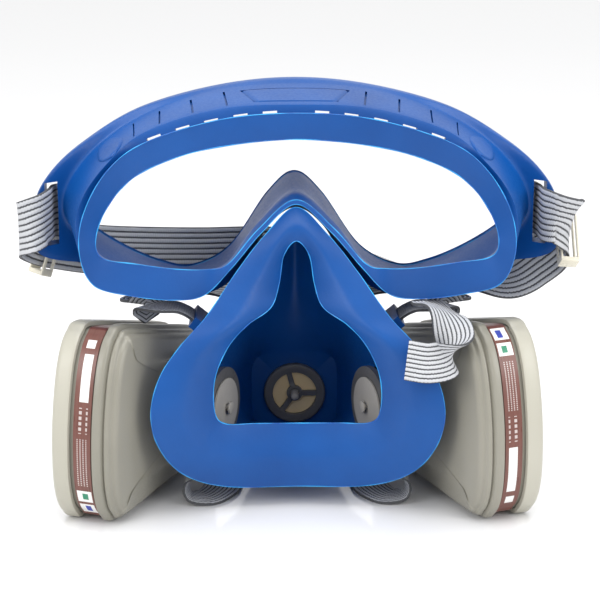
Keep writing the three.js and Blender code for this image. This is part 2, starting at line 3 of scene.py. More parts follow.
import bmesh
import bpy
import numpy as np
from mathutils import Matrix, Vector


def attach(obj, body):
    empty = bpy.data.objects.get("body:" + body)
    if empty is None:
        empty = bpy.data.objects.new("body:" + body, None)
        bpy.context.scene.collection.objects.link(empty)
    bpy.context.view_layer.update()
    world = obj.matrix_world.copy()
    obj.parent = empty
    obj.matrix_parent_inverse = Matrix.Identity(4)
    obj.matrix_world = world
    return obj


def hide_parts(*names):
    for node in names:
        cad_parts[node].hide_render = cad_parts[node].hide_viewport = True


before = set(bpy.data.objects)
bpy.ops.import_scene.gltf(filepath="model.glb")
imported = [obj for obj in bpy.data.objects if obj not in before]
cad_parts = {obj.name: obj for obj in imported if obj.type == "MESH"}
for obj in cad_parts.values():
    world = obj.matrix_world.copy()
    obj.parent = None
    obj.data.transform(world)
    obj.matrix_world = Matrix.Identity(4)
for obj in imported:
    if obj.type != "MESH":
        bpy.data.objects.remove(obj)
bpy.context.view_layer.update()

# ---------------------------------------------------------------- table, studio and camera
# The respirator is shown standing on a pale glossy table top under soft studio panels. The view is
# from behind the face seals, a little above, as a wearer picks the mask up.
CAMERA_TILT = math.radians(15)
CAMERA_TURN = math.radians(-1.25)
CAMERA_REACH = 0.7
LOOK_AT = Vector((0.0014, -0.012, 0.078))
back = Vector((
    math.sin(CAMERA_TURN) * math.cos(CAMERA_TILT),
    -math.cos(CAMERA_TURN) * math.cos(CAMERA_TILT),
    math.sin(CAMERA_TILT),
))
camera_data = bpy.data.cameras.new("camera")
camera_data.lens = 109.2
camera_data.sensor_width = 36
camera_data.clip_start = 0.01
camera = bpy.data.objects.new("camera", camera_data)
camera.location = LOOK_AT + back * CAMERA_REACH
camera.rotation_mode = "QUATERNION"
camera.rotation_quaternion = (-back).to_track_quat("-Z", "Y")
bpy.context.collection.objects.link(camera)
bpy.context.scene.camera = camera
bpy.context.scene.view_settings.view_transform = "Standard"


def link_mesh(name, points, faces):
    """A mesh object from an (n, 3) array in metres and a list of faces."""
    mesh = bpy.data.meshes.new(name)
    mesh.from_pydata(points.tolist(), [], faces if isinstance(faces, list) else faces.tolist())
    mesh.validate()
    mesh.update()
    made = bpy.data.objects.new(name, mesh)
    bpy.context.collection.objects.link(made)
    return made


def shader(name, **sockets):
    """A new material, its node tree and its Principled shader with the sockets given."""
    material = bpy.data.materials.new(name)
    material.use_nodes = True
    principled = material.node_tree.nodes["Principled BSDF"]
    for socket, value in sockets.items():
        principled.inputs[socket.replace("_", " ")].default_value = value
    return material, material.node_tree, principled


def node(tree, kind, inputs=None, **settings):
    """A shader node with its settings, and its inputs linked or set."""
    made = tree.nodes.new(kind)
    for key, value in settings.items():
        setattr(made, key, value)
    for key, value in (inputs or {}).items():
        socket = made.inputs[key]
        if isinstance(value, bpy.types.NodeSocket):
            tree.links.new(value, socket)
        else:
            socket.default_value = value
    return made


def ramp(tree, factor, *stops):
    """A colour ramp over factor, with (position, colour) stops. A plain number stands for a grey."""
    made = node(tree, "ShaderNodeValToRGB", {"Fac": factor})
    elements = made.color_ramp.elements
    while len(elements) < len(stops):
        elements.new(0.5)
    for element, (position, colour) in zip(elements, stops):
        element.position = position
        element.color = (*colour, 1) if isinstance(colour, tuple) else (colour, colour, colour, 1)
    return made.outputs["Color"]


def driven(tree, principled, socket, factor, *stops):
    """Links a ramp over factor to one of the shader's sockets."""
    tree.links.new(ramp(tree, factor, *stops), principled.inputs[socket])


table_points = np.array([[-4, -4, 0], [4, -4, 0], [4, 4, 0], [-4, 4, 0]], float)
table_top = link_mesh("table_top", table_points, [[0, 1, 2, 3]])
table_look, tree, principled = shader("table_gloss", Roughness=0.09, IOR=1.8)
haze = node(tree, "ShaderNodeTexNoise", {"Scale": 3.0, "Detail": 2.0}, noise_dimensions="3D")
pale = (0.3, (0.85, 0.85, 0.86)), (0.7, (0.88, 0.88, 0.89))
driven(tree, principled, "Base Color", haze.outputs["Fac"], *pale)
table_top.data.materials.append(table_look)

world = bpy.data.worlds.new("studio")
world.use_nodes = True
world.node_tree.nodes["Background"].inputs["Color"].default_value = (1, 1, 1, 1)
world.node_tree.nodes["Background"].inputs["Strength"].default_value = 0.96
bpy.context.scene.world = world


def panel_light(name, place, aim, size, watts):
    """A soft square studio panel facing a point."""
    data = bpy.data.lights.new(name, "AREA")
    data.size = size
    data.energy = watts
    made = bpy.data.objects.new(name, data)
    made.location = place
    made.rotation_mode = "QUATERNION"
    made.rotation_quaternion = (Vector(aim) - Vector(place)).to_track_quat("-Z", "Y")
    bpy.context.collection.objects.link(made)
    return made


panel_light("panel_overhead", (0.0, -0.1, 1.1), (0, 0, 0.05), 0.9, 9)
panel_light("panel_left", (-0.9, -0.7, 0.6), (0, 0, 0.07), 0.6, 5)
panel_light("panel_right", (0.9, -0.7, 0.6), (0, 0, 0.07), 0.6, 5)

# ---------------------------------------------------------------- goggle frame
# One moulding of blue rubber. The lens sits in a groove round its front opening; the wall runs back
# past a stepped shoulder with ten vents to a soft face seal. Wings at the temples take the strap.
SET_BACK = 12.0
LENS_FRONT_Y = 42.0
LENS_SAG = 212.0


def metres(points):
    """Drawing millimetres to metres in the frame: the drawing's Y zero lies SET_BACK further forward."""
    points = np.array(points, float)
    points[..., 1] -= SET_BACK
    return points * 0.001


def lens_y(x):
    """Height of the lens cylinder's front: it falls back with the square of x."""
    return LENS_FRONT_Y - np.square(x) / LENS_SAG


def mirrored(half):
    """A half outline from top to bottom, then its mirror image back up to the top."""
    half = np.asarray(half, float)
    return np.vstack([half, half[-2:0:-1] * [-1, 1, 1]])


def grown(half, out, dy=0.0):
    """A half outline moved along its own normal in the XZ plane by out, and by dy along Y."""
    half = np.asarray(half, float)
    loop = mirrored(half)
    run = np.roll(loop, -1, 0) - np.roll(loop, 1, 0)
    normal = np.stack([-run[:, 2], np.zeros(len(loop)), run[:, 0]], 1)
    normal /= np.linalg.norm(normal, axis=1)[:, None]
    made = half + normal[: len(half)] * np.broadcast_to(out, len(half))[:, None]
    made[[0, -1], 0] = 0
    made[:, 1] += dy
    return made


def on_lens(outline, dy):
    """A flat [x, z] outline laid on the lens cylinder, dy in front of it."""
    outline = np.asarray(outline, float)
    return np.stack([outline[:, 0], lens_y(outline[:, 0]) + dy, outline[:, 1]], 1)


def lens_groove(out, dy):
    """The lens opening grown by out and laid on the lens cylinder."""
    half = grown(on_lens(LENS_EDGE, 0), out)
    half[:, 1] = lens_y(half[:, 0]) + dy
    return half


def cubic(p0, p1, p2, p3, t):
    """Catmull-Rom: the cubic from p1 to p2 whose end slopes are half of p2 - p0 and half of p3 - p1."""
    square = 2 * p0 - 5 * p1 + 4 * p2 - p3
    cube = 3 * p1 - p0 - 3 * p2 + p3
    return 0.5 * (2 * p1 + (p2 - p0) * t + square * t**2 + cube * t**3)


def round_loop(points, fine):
    """A closed Catmull-Rom loop through the points, with fine steps to a span."""
    p = np.asarray(points, float)[:, None]
    t = (np.arange(fine) / fine)[None, :, None]
    return cubic(np.roll(p, 1, 0), p, np.roll(p, -1, 0), np.roll(p, -2, 0), t).reshape(-1, p.shape[-1])


def skinned(stations, bend, fine, closed):
    """Rows of points along a profile through the stations. Each span is a Hermite cubic; a station's slope
    follows its neighbours, as long as the shorter side, times its bend: 1 is smooth and 0 is a corner."""
    p = np.asarray(stations, float)
    step = np.roll(p, -1, 0) - p
    size = np.linalg.norm(step, axis=-1, keepdims=True) + 1e-9
    before, after = np.roll(size, 1, 0), size
    slope = (np.roll(p, -1, 0) - np.roll(p, 1, 0)) / (before + after)
    slope = slope * np.asarray(bend, float)[:, None, None]
    rows = []
    spans = len(p) if closed else len(p) - 1
    for i in range(spans):
        j = (i + 1) % len(p)
        reach = size[i]
        count = fine[i] if hasattr(fine, "__len__") else fine
        for t in np.arange(count) / count:
            h1, h2 = 2 * t**3 - 3 * t**2 + 1, t**3 - 2 * t**2 + t
            h3, h4 = 1 - h1, t**3 - t**2
            rows.append(h1 * p[i] + h2 * slope[i] * reach + h3 * p[j] + h4 * slope[j] * reach)
    if not closed:
        rows.append(p[-1])
    return np.array(rows)


def grid_faces(rows, count, closed_rows, closed_loop=True):
    """Quads over a rows by count grid, wrapped where closed."""
    r = np.arange(rows if closed_rows else rows - 1)
    c = np.arange(count if closed_loop else count - 1)
    r, c = np.meshgrid(r, c, indexing="ij")
    r2, c2 = (r + 1) % rows, (c + 1) % count
    return np.stack([r * count + c, r2 * count + c, r2 * count + c2, r * count + c2], -1).reshape(-1, 4)


def capped(grid):
    """Points and faces of an open-ended grid, closed by a fan at the middle of its first and last rows."""
    rows, count = grid.shape[:2]
    points = np.vstack([grid.reshape(-1, 3), grid[0].mean(0), grid[-1].mean(0)])
    turn = np.arange(count)
    follow = (turn + 1) % count
    last = (rows - 1) * count
    near = np.stack([np.full(count, rows * count), turn, follow], 1)
    far = np.stack([np.full(count, rows * count + 1), last + follow, last + turn], 1)
    return points, grid_faces(rows, count, False).tolist() + near.tolist() + far.tolist()


def outward(piece):
    """Merges doubled points and points every face outwards."""
    work = bmesh.new()
    work.from_mesh(piece.data)
    bmesh.ops.remove_doubles(work, verts=work.verts, dist=1e-7)
    bmesh.ops.recalc_face_normals(work, faces=work.faces)
    work.to_mesh(piece.data)
    work.free()
    return piece


def smooth(piece, degrees=40):
    """Smooth shading with a crease where faces meet at more than the angle."""
    piece.data.shade_smooth()
    piece.data.set_sharp_from_angle(angle=math.radians(degrees))
    return piece


def applied(piece):
    """The piece with its modifiers made part of its mesh."""
    bpy.context.view_layer.update()
    graph = bpy.context.evaluated_depsgraph_get()
    mesh = bpy.data.meshes.new_from_object(piece.evaluated_get(graph))
    old = piece.data
    piece.modifiers.clear()
    piece.data = mesh
    bpy.data.meshes.remove(old)
    return piece


def cut(piece, tools, operation="DIFFERENCE"):
    """Cuts or joins the tools in turn, then removes them."""
    for tool in tools:
        step = piece.modifiers.new("cut", "BOOLEAN")
        step.operation = operation
        step.solver = "EXACT"
        step.object = tool
    applied(piece)
    for tool in tools:
        bpy.data.objects.remove(tool)
    return piece


def finished(piece, look, body, slot, *nodes):
    """Gives a piece its material and its body, and hides the plain solids it stands for. The slot is not used.
    """
    piece.data.materials.clear()
    piece.data.materials.append(look)
    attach(piece, body)
    if nodes:
        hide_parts(*nodes)
    return piece


# [x, z] from the brow's middle round to the nose peak.
LENS_EDGE = [
    (0, 150), (30, 148), (56, 142), (73, 133), (82.5, 122), (84, 113), (78, 104.5),
    (66, 94.5), (53, 87), (41, 84), (26, 91), (11, 112), (0, 120.5),
]
RIM_EDGE = [
    (0, 158), (30, 155.7), (60, 149), (81, 138), (93, 127.5), (98, 116), (96.5, 98),
    (71, 89), (55, 81), (40, 78), (21.5, 87), (8, 107.5), (0, 115),
]
# [x, y, z].
SHOULDER = [
    (0, 4, 153), (29, 3, 151.6), (56.5, -3, 144), (71, -13, 133), (80, -18, 120), (81.5, -20, 106),
    (77, -17, 93), (64, -10, 85.5), (48, -5, 81), (33, -1, 81.5), (20.8, 4, 89), (10.6, 12, 104.6),
    (0, 15, 111.2),
]
SEAL_OUTER = [
    (0, -4, 151), (28.5, -6, 149), (56.5, -13, 141.5), (70, -20, 132), (78, -28, 118), (79.5, -31, 104),
    (75, -28, 91.5), (63, -22, 86), (47, -16, 82.5), (35, -11, 83), (24.6, -9.5, 93.1), (13, -3, 105.5),
    (0, 2.6, 115),
]
SEAL_LIP = [
    (0, -3, 141), (33, -6, 138), (54, -11, 132), (65, -16, 125), (72, -22, 115), (74, -26, 106),
    (71, -24.5, 100.5), (60, -20, 97.5), (46, -14, 94), (34, -9, 92.5), (25.9, -8.6, 94.5), (14.2, -2.2, 106.7),
    (0, 3.4, 116.6),
]
rim_inset = [(x * 0.985, z + (1 if i > 9 else -1)) for i, (x, z) in enumerate(RIM_EDGE)]
goggle_stations = [
    lens_groove(0, 1.4),
    lens_groove(1, 3.2),
    on_lens(rim_inset, 3),
    on_lens(RIM_EDGE, 1),
    on_lens(RIM_EDGE, -4.5),
    grown(on_lens(LENS_EDGE, 0), [6.8, 6.8, 5.5, 4.5, 4, 4, 4, 4, 4, 4, 3.6, 3.6, 3.8], -9),
    SHOULDER,
    grown(SEAL_LIP, [5.5, 5.5, 5.5, 5, 4, 3.5, 4, 6, 6.5, 5, 3.2, 2.2, 2.8], 5),
    grown(SEAL_OUTER, 0, 1.6),
    SEAL_OUTER,
    SEAL_LIP,
    grown(SEAL_LIP, 0.2, 1.8),
    grown(SEAL_LIP, [2.8, 2.8, 2.6, 2.2, 1.5, 1, 1.4, 3, 3.4, 2, 0.2, -1, -1.4], 6.5),
    grown(SHOULDER, [-3] * 11 + [-3.2, -7], 3),
    grown(on_lens(LENS_EDGE, 0), [3.2, 3.2, 2, 1, 0.8, 0.8, 0.8, 0.8, 0.8, 0.8, 0.4, 0.4, 0.6], -9),
    lens_groove(0, -2.4),
    lens_groove(3.6, -1.6),
    lens_groove(3.6, 0.8),
]
goggle_bend = [0.2, 0.6, 0.6, 0.8, 0.6, 0.7, 0.3, 0.6, 0.3, 0.3, 0.3, 0.3, 0.8, 0.8, 0.7, 0.1, 0, 0]
goggle_fine = [2, 3, 3, 3, 8, 12, 5, 5, 2, 8, 2, 4, 4, 5, 5, 2, 1, 2]
AROUND = 20
loops = np.array([round_loop(mirrored(station), AROUND) for station in goggle_stations])
goggle_grid = skinned(loops, goggle_bend, goggle_fine, True)
rows, count = goggle_grid.shape[:2]
goggle_points = metres(goggle_grid).reshape(-1, 3)
goggle_frame = outward(link_mesh("goggle_frame_rubber", goggle_points, grid_faces(rows, count, True)))
BOX_CORNERS = np.array([(a, b, c) for a in (-1, 1) for b in (-1, 1) for c in (-1, 1)], float) / 2
BOX_FACES = [[0, 1, 3, 2], [4, 6, 7, 5], [0, 4, 5, 1], [2, 3, 7, 6], [0, 2, 6, 4], [1, 5, 7, 3]]


def bar(width, depth, height, x, y, z, turn=0.0):
    """A cutting box in drawing millimetres, turned about Y."""
    cos, sin = math.cos(turn), math.sin(turn)
    points = BOX_CORNERS * [width, depth, height]
    points = points @ np.array([[cos, 0, -sin], [0, 1, 0], [sin, 0, cos]]) + [x, y, z]
    return outward(link_mesh("cutter", metres(points), BOX_FACES))


def vent(x):
    """The cutter of one vent through the step: it drops and falls back with the square of x, as the step
    does."""
    return bar(5.4, 9, 2.8, x, 6 - x * x / 420, 149.6 - x * x / 330, math.atan(x / 165))


VENT_X = (9.8, 20.8, 31.8, 42.4, 53)
WING_SLOT_X = 92.2
cutters = [vent(side * x) for x in VENT_X for side in (-1, 1)]
cutters += [bar(4.4, 40, 24, side * WING_SLOT_X, 2, 113) for side in (-1, 1)]


def on_shell(row, column):
    """The point and outward direction of the moulding at fractional rows and columns of its grid: bilinear
    between its four nearest points, and the cross product of two short steps from there."""
    def point(r, c):
        r, c = np.asarray(r, float), np.mod(c, count)
        r0, c0 = np.floor(r).astype(int), np.floor(c).astype(int)
        fr, fc = (r - r0)[..., None], (c - c0)[..., None]
        r1, c1 = (r0 + 1) % rows, (c0 + 1) % count
        near = goggle_grid[r0, c0] * (1 - fc) + goggle_grid[r0, c1] * fc
        return near * (1 - fr) + (goggle_grid[r1, c0] * (1 - fc) + goggle_grid[r1, c1] * fc) * fr

    middle = point(row, column)
    normal = np.cross(point(row + 0.4, column) - middle, point(row, column + 0.4) - middle)
    normal /= np.linalg.norm(normal, axis=-1)[..., None]
    return middle, normal * np.sign(normal[..., 2:].mean())


def raised(name, first, last, low_edge, high_edge, under, over, ease=0.12):
    """A slab on the moulding between two rows. Its side edges are columns given by share of the way across
    the rows; its top stands over the surface with eased edges and its underside lies below it."""
    t, s = np.linspace(0, 1, 25), np.linspace(0, 1, 33)
    low, high = low_edge(t)[:, None], high_edge(t)[:, None]
    row = np.broadcast_to(first + (last - first) * t[:, None], (25, 33))
    middle, normal = on_shell(row, low + (high - low) * s)
    rim = np.minimum(np.minimum(t, 1 - t)[:, None], np.minimum(s, 1 - s)[None, :]) / ease
    lift = under + (over - under) * np.sqrt(1 - (1 - np.clip(rim, 0, 1)) ** 2)
    top, floor = middle + normal * lift[..., None], middle + normal * (under - 0.2)
    points, faces = capped(np.concatenate([top, floor[:, ::-1]], 1))
    return outward(link_mesh(name, metres(points), faces))


def across(column, lean=0.0):
    """A slab edge that starts at a column and leans by so many columns over the rows."""
    return lambda t: column + lean * t


for side in (-1, 1):
    for column in (17.6, 26.4, 35.2, 44):
        edges = sorted((side * column, side * (column + 0.55)))
        cutters.append(raised("groove", 21, 29.2, across(edges[0]), across(edges[1]), -0.9, 0.8, 0.02))
cutters.append(raised("border", 21.6, 28.6, across(-14.2, 3.2), across(14.2, -3.2), -0.55, 0.8, 0.01))
cut(goggle_frame, cutters)
smooth(goggle_frame, 38)

blue_rubber, tree, principled = shader("blue_moulded_rubber", Specular_IOR_Level=0.32)
place = node(tree, "ShaderNodeTexCoord").outputs["Object"]
clouds = node(tree, "ShaderNodeTexNoise", {"Vector": place, "Scale": 30.0, "Detail": 4.0})
blues = (0.3, (0.001, 0.055, 0.24)), (0.7, (0.002, 0.075, 0.31))
driven(tree, principled, "Base Color", clouds.outputs["Fac"], *blues)
grain = node(tree, "ShaderNodeTexNoise", {"Vector": place, "Scale": 900.0, "Detail": 3.0})
driven(tree, principled, "Roughness", grain.outputs["Fac"], (0.3, 0.32), (0.7, 0.44))
dent = node(tree, "ShaderNodeBump", {"Height": grain.outputs["Fac"], "Strength": 0.12, "Distance": 0.0003})
tree.links.new(dent.outputs["Normal"], principled.inputs["Normal"])
finished(goggle_frame, blue_rubber, "frame", "blue_rubber", "goggle_frame")

plate = raised("brow_plate", 21.9, 28.3, across(-13.6, 3.1), across(13.6, -3.1), -0.7, 0.2, 0.05)
smooth(plate, 50)
finished(plate, blue_rubber, "frame", "blue_rubber")


def leaf(side, sign):
    """One edge of a leaf shape about column 57: half a sine wave over the rows, raised to a blunter end."""
    return lambda t: side * (57 - 3 * t) + sign * 6.5 * np.sin(np.pi * np.clip(t, 0.04, 0.96)) ** 0.8


for side, hand in ((-1, "left"), (1, "right")):
    panel = raised("temple_panel_" + hand, 20, 30.5, leaf(side, -1), leaf(side, 1), -0.3, 0.7, 0.16)
    smooth(panel, 50)
    finished(panel, blue_rubber, "frame", "blue_rubber")


def bead(name, loop, radius=0.2):
    """A thin round bead along a closed loop, its radius wandering on two sines, coloured as a painted
    highlight:
    a light cyan line that stands in for light caught along the moulding's rounded edges."""
    run = np.roll(loop, -1, 0) - np.roll(loop, 1, 0)
    run /= np.linalg.norm(run, axis=1)[:, None]
    side = np.cross(run, [0, 1.0, 0])
    side /= np.linalg.norm(side, axis=1)[:, None]
    upward = np.cross(run, side)
    wave = radius * (1 + 0.35 * np.sin(np.arange(len(loop)) * 0.37) * np.sin(np.arange(len(loop)) * 0.113))
    turn = np.linspace(0, 2 * np.pi, 8, endpoint=False)
    ring = np.cos(turn)[None, :, None] * side[:, None] + np.sin(turn)[None, :, None] * upward[:, None]
    points = loop[:, None] + ring * wave[:, None, None]
    made = outward(link_mesh(name, metres(points).reshape(-1, 3), grid_faces(len(loop), 8, True)))
    smooth(made, 80)
    return finished(made, edge_highlight_look, "frame", "blue_rubber")


# Painted highlight: the light cyan on the edge beads stands in for light caught along the rubber's rounded
# rims.
edge_highlight_look, tree, principled = shader("rubber_painted_edge_highlight", Roughness=0.3)
place = node(tree, "ShaderNodeTexCoord").outputs["Object"]
highlight_patches = node(tree, "ShaderNodeTexNoise", {"Vector": place, "Scale": 90.0, "Detail": 3.0})
highlight_blues = (0.35, (0.006, 0.1, 0.42)), (0.7, (0.03, 0.42, 0.85))
driven(tree, principled, "Base Color", highlight_patches.outputs["Fac"], *highlight_blues)
bead("highlight_bead_seal_lip", round_loop(mirrored(SEAL_LIP), AROUND))
bead("highlight_bead_seal_outer", round_loop(mirrored(SEAL_OUTER), AROUND), 0.16)
bead("highlight_bead_lens_edge", round_loop(mirrored(lens_groove(0, -2.4)), AROUND), 0.16)

# ---------------------------------------------------------------- lens
# A single clear polycarbonate sheet, bent round the face and pushed into the frame's groove. Its
# lower edge rises over the nose, so each upright strip of it is one span from edge to edge.
LENS_THICK = 1.2


def lens_sheet(columns=120, strips=28):
    """Columns of x from temple to temple, closer together there; each runs up the cylinder from the lower edge
    to the upper edge."""
    edge = round_loop(mirrored(lens_groove(3.2, 0)), 24)
    right = edge[edge[:, 0] >= -1e-6]
    tip = np.argmax(right[:, 0])
    upper = right[right[:, 2] >= right[tip, 2]]
    lower = right[right[:, 2] < right[tip, 2]]
    x = right[tip, 0] * np.sin(np.linspace(-np.pi / 2, np.pi / 2, columns)) * 0.9999
    upper = upper[np.argsort(upper[:, 0])]
    lower = lower[np.argsort(lower[:, 0])]
    top = np.interp(np.abs(x), upper[:, 0], upper[:, 2])
    low = np.interp(np.abs(x), np.append(lower[:, 0], right[tip, 0]), np.append(lower[:, 2], right[tip, 2]))
    t = np.linspace(0, 1, strips)[None, :]
    z = low[:, None] + (top - low)[:, None] * t
    xx = np.broadcast_to(x[:, None], z.shape)
    return np.stack([xx, lens_y(xx) + 0.25, z], -1)


sheet = lens_sheet()
lens = link_mesh("lens_sheet", metres(sheet).reshape(-1, 3), grid_faces(*sheet.shape[:2], False, False))
outward(lens)
wall = lens.modifiers.new("wall", "SOLIDIFY")
wall.thickness = LENS_THICK * 0.001
wall.offset = 1 if lens.data.polygons[0].normal.y < 0 else -1
applied(lens)
smooth(lens, 50)
clear, tree, principled = shader(
    "clear_polycarbonate", Base_Color=(1, 1, 1, 1), IOR=1.1, Transmission_Weight=1.0
)
place = node(tree, "ShaderNodeTexCoord").outputs["Object"]
film = node(tree, "ShaderNodeTexNoise", {"Vector": place, "Scale": 60.0, "Detail": 2.0})
driven(tree, principled, "Roughness", film.outputs["Fac"], (0.4, 0.015), (0.8, 0.05))
finished(lens, clear, "frame", "clear_lens", "lens")

# ---------------------------------------------------------------- half mask
# One moulding of soft blue rubber: a cup with a flat front wall for the valve, a round port with a
# collar at each side, lugs for the straps, and a seal that turns in round the nose, cheeks and chin.
PORT_X, PORT_Y, PORT_Z = 36.0, 4.0, 34.6
PORT_TURN = math.radians(22)
PORT_R = 13.0
VALVE_Z = 28.0
VALVE_HOLE_R = 11.5
MASK_FRONT_Y = 43.0
MASK_WALL = 2.6
FRONT = [
    (0, 43, 46.5), (8, 43, 46.5), (15.5, 43, 45.2), (19, 43, 41), (19.8, 43, 35), (19.8, 43, 28),
    (19.6, 43, 21), (18.4, 43, 15), (14, 43, 11.4), (7, 43, 10.4), (0, 43, 10.2),
]
FRONT_EDGE = [
    (0, 40, 57), (7, 39.7, 55), (14, 39, 51), (19.5, 38, 46), (22.5, 37, 39), (23.6, 36.5, 32),
    (23, 36.5, 24.5), (20.5, 37.5, 16.5), (14.5, 38.5, 10.8), (7.5, 39.5, 8.8), (0, 40, 8.4),
]
CHEEK = [
    (0, 34, 83), (6, 32.5, 77.5), (13, 30, 70), (20, 27, 61.5), (25.5, 24, 53), (29, 22, 44),
    (30, 21, 35), (28, 21, 25.5), (22, 23, 16.5), (12, 25, 10.5), (0, 26, 8.6),
]
MIDDLE = [
    (0, 24, 105.5), (8, 20, 96), (16.5, 15, 84), (25.5, 10, 71.5), (32.5, 6.5, 61), (37.5, 4, 50),
    (39.3, 3, 39), (37, 3, 26.5), (30, 4, 16.5), (18, 6, 10.8), (0, 8, 9.2),
]
BACK = [
    (0, 12, 110.8), (9.5, 7, 101.5), (18.5, 1, 89.5), (29, -7, 75.5), (37.5, -12, 65), (44, -16, 54),
    (46.5, -18, 42), (44, -17, 28.5), (36.5, -14, 17.5), (22.5, -10, 11.8), (0, -8, 10),
]
FACE_EDGE = [
    (0, 2, 114), (12, -4, 104.5), (22.5, -11.5, 92.5), (34, -21, 77.5), (44, -27.3, 67.4), (51.5, -31, 56.5),
    (54.8, -33, 43), (52, -31, 29), (43, -26, 16.6), (27, -20.3, 9.6), (0, -17, 8.3),
]
FACE_LIP = [
    (0, -4, 102.2), (4.8, -5.5, 97), (6.8, -8, 86), (10, -12.5, 78.3), (18.8, -18, 73.1), (26, -21, 65.5),
    (31, -23.5, 54), (31.3, -23.5, 41), (27.5, -21.5, 35.4), (16, -17.5, 34), (0, -15, 33.2),
]


def between(start, end, share, dy):
    """A half outline a share of the way from one to another, moved by dy along Y."""
    start, end = np.asarray(start, float), np.asarray(end, float)
    return start + (end - start) * share + [0, dy, 0]


mask_stations = [
    FRONT,
    FRONT_EDGE,
    CHEEK,
    MIDDLE,
    BACK,
    grown(FACE_EDGE, -0.5, 2.4),
    FACE_EDGE,
    between(FACE_EDGE, FACE_LIP, 0.5, -3),
    FACE_LIP,
    grown(FACE_LIP, 0.4, 1.8),
    between(FACE_EDGE, FACE_LIP, 0.55, 0.2),
    grown(BACK, -MASK_WALL, 0.5),
    grown(MIDDLE, -MASK_WALL, -0.5),
    grown(CHEEK, -MASK_WALL, -1.2),
    grown(FRONT_EDGE, -MASK_WALL, -1.8),
    grown(FRONT, -2.2, -MASK_WALL),
]
mask_bend = [0.1, 0.9, 0.9, 0.9, 0.8, 0.4, 0.3, 0.9, 0.3, 0.4, 0.8, 0.8, 0.9, 0.8, 0.4, 0.1]
mask_fine = [4, 6, 6, 6, 5, 3, 10, 10, 3, 5, 6, 6, 6, 6, 3, 1]
loops = np.array([round_loop(mirrored(station), AROUND // 2) for station in mask_stations])
shell = skinned(loops, mask_bend, mask_fine, False)
rows, count = shell.shape[:2]


points, faces = capped(shell)
half_mask = outward(link_mesh("half_mask_rubber", metres(points), faces))


def lathe(profile, origin, direction, count=96):
    """A turned solid: each [radius, distance] point of the profile carried round the axis. A profile that
    starts off the axis closes on itself."""
    profile = np.asarray(profile, float)
    angle = np.arange(count) / count * 2 * np.pi
    out = np.asarray(direction, float)
    side = np.cross(out, [0, 0, 1.0])
    side /= np.linalg.norm(side)
    upward = np.cross(side, out)
    spoke = np.cos(angle)[:, None] * side + np.sin(angle)[:, None] * upward
    points = np.asarray(origin, float) + profile[:, 1, None, None] * out + profile[:, 0, None, None] * spoke
    return points, grid_faces(len(profile), count, profile[0, 0] > 1e-6)


def turned(name, profile, origin, direction, count=96):
    """A named lathe piece with its doubled points merged."""
    points, faces = lathe(profile, origin, direction, count)
    return outward(link_mesh(name, metres(points).reshape(-1, 3), faces))


ports = []
for side in (-1, 1):
    out = np.array([side * math.cos(PORT_TURN), math.sin(PORT_TURN), 0.0])
    ports.append((side, out, np.array([side * PORT_X, PORT_Y, PORT_Z])))
joined, cutters = [], []
for side, out, centre in ports:
    joined.append(turned("collar", [(PORT_R, -6), (16.5, -6), (17, 2), (PORT_R, 2)], centre, out))
    plug = [(0, -14), (16.2, -14), (16.2, -6), (PORT_R, -6), (PORT_R, 12), (0, 12)]
    cutters.append(turned("plug", plug, centre, out))
VALVE = ((0, 0, VALVE_Z), (0, 1, 0))
cutters.append(turned("hole", [(0, 34), (VALVE_HOLE_R, 34), (VALVE_HOLE_R, 50), (0, 50)], *VALVE))
LUGS = [(33.5, -2, 67.5, 0.69), (33.5, -6, 17, -0.79)]
WEB_NARROW, WEB_WIDE, WEB_THICK = 15.0, 20.0, 1.3


def lug_block(size, reach, side, x, y, z, tilt):
    """A block laid along the lug's direction, which tilts up from sideways."""
    cos, sin = math.cos(tilt), math.sin(tilt)
    points = BOX_CORNERS * np.array(size) + [reach, 0, 0]
    points = points @ np.array([[cos, 0, sin], [0, 1, 0], [-sin, 0, cos]]) + [x, y, z]
    return outward(link_mesh("lug", metres(points * [side, 1, 1]), BOX_FACES))


for lug in LUGS:
    for side in (-1, 1):
        joined.append(lug_block((10, WEB_NARROW + 4, 4.6), 3, side, *lug))
        cutters.insert(0, lug_block((12, WEB_NARROW + 0.6, WEB_THICK + 0.6), 7.5, side, *lug))
cut(half_mask, joined, "UNION")
cut(half_mask, cutters)
smooth(half_mask, 42)
finished(half_mask, blue_rubber, "frame", "blue_rubber", "half_mask")
# Painted highlight beads along the mask's seal lip and outer edge.
bead("highlight_bead_mask_lip", round_loop(mirrored(FACE_LIP), AROUND))
bead("highlight_bead_mask_edge", round_loop(mirrored(FACE_EDGE), AROUND), 0.15)

# ---------------------------------------------------------------- exhalation valve
# A dark moulded seat snapped through the front wall, with a hub on three spokes. An amber silicone
# disc lies on its outer side, held by a pale pin, under a blue cover with three outlets.
FORE = MASK_FRONT_Y + 0.3
INNER = MASK_FRONT_Y - MASK_WALL - 0.3


def eased(piece, width, segments=2, degrees=35):
    """The piece with its corners rounded over a width in millimetres."""
    step = piece.modifiers.new("ease", "BEVEL")
    step.width = width * 0.001
    step.segments = segments
    step.limit_method = "ANGLE"
    step.angle_limit = math.radians(degrees)
    step.use_clamp_overlap = True
    applied(piece)
    return smooth(piece, degrees)


